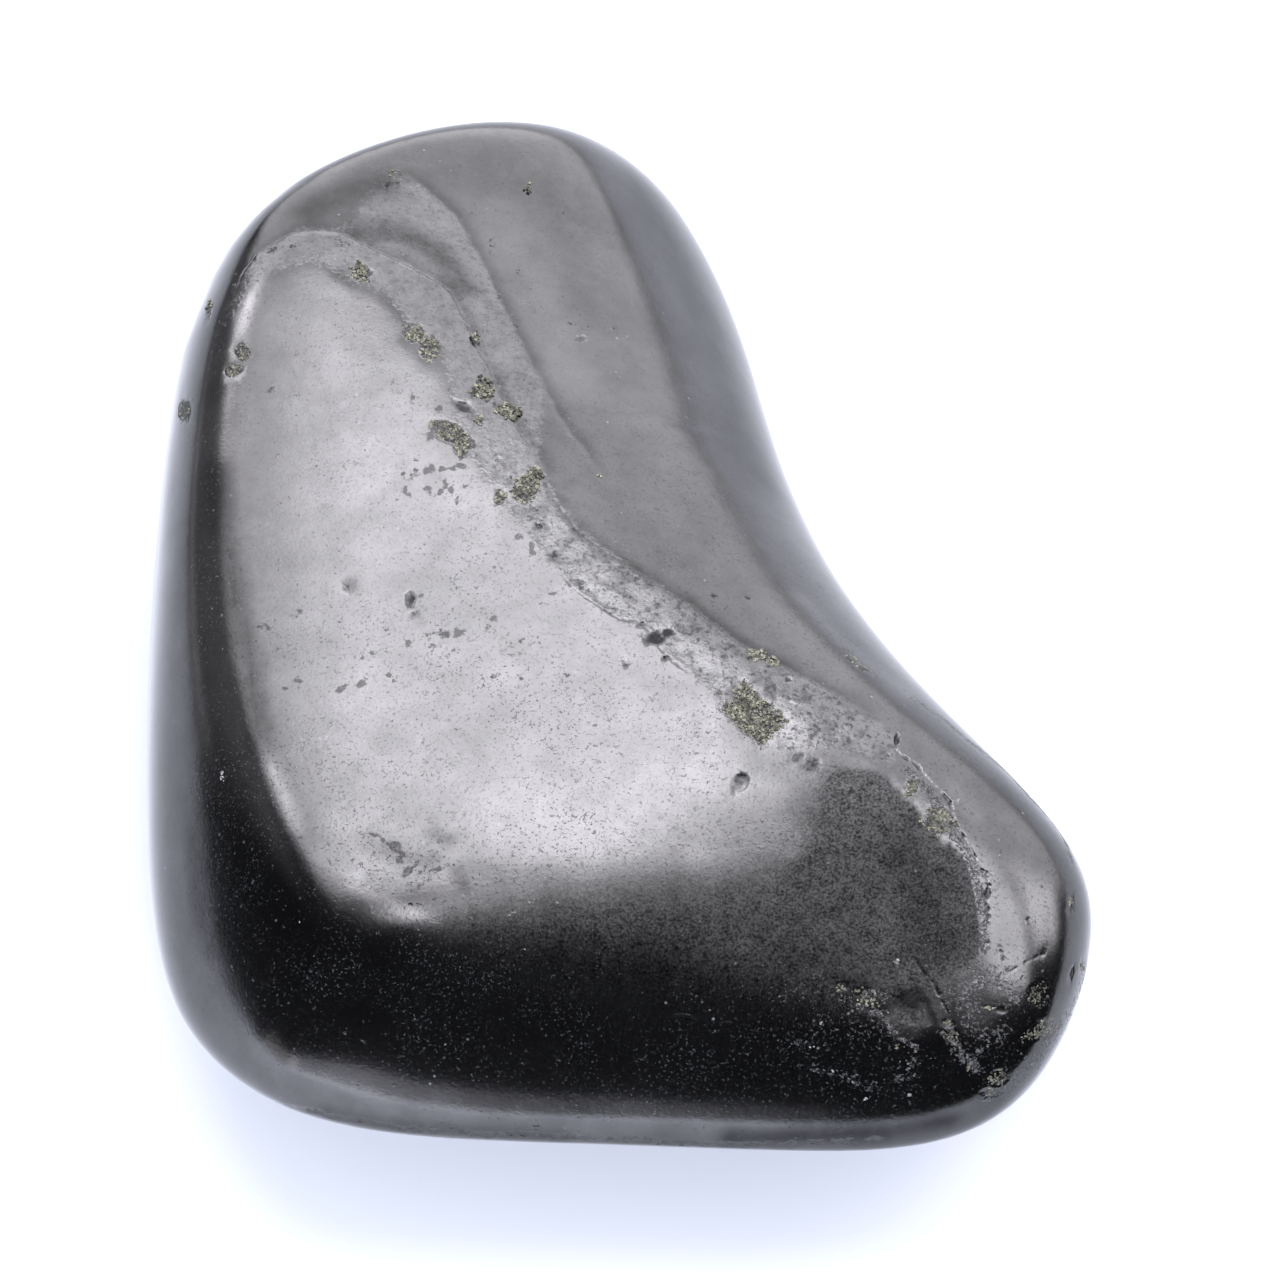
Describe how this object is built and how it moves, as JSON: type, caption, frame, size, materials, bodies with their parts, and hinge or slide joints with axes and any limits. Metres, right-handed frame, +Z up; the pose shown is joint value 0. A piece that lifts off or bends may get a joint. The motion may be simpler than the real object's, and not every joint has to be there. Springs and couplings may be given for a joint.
{
  "type": "tumbled shungite stone",
  "caption": "Boot-shaped polished shungite pebble: a level top breaks over a ledge to a hollow bevel, with a worn dish, pyrite specks and a small flat spot to rest on.",
  "frame": {"origin": "centre of the pebble's box, on the surface that it lies on", "axes": "+Z up, +Y back along the long leg, +X towards the nose"},
  "size_m": [0.0412, 0.0534, 0.0161],
  "materials": {
    "shungite": "near-black tumbled polish with a semi-metallic grey sheen, fine pits and small brassy pyrite patches"
  },
  "bodies": {
    "root": {"shungite_stone": "shungite"}
  },
  "joints": []
}
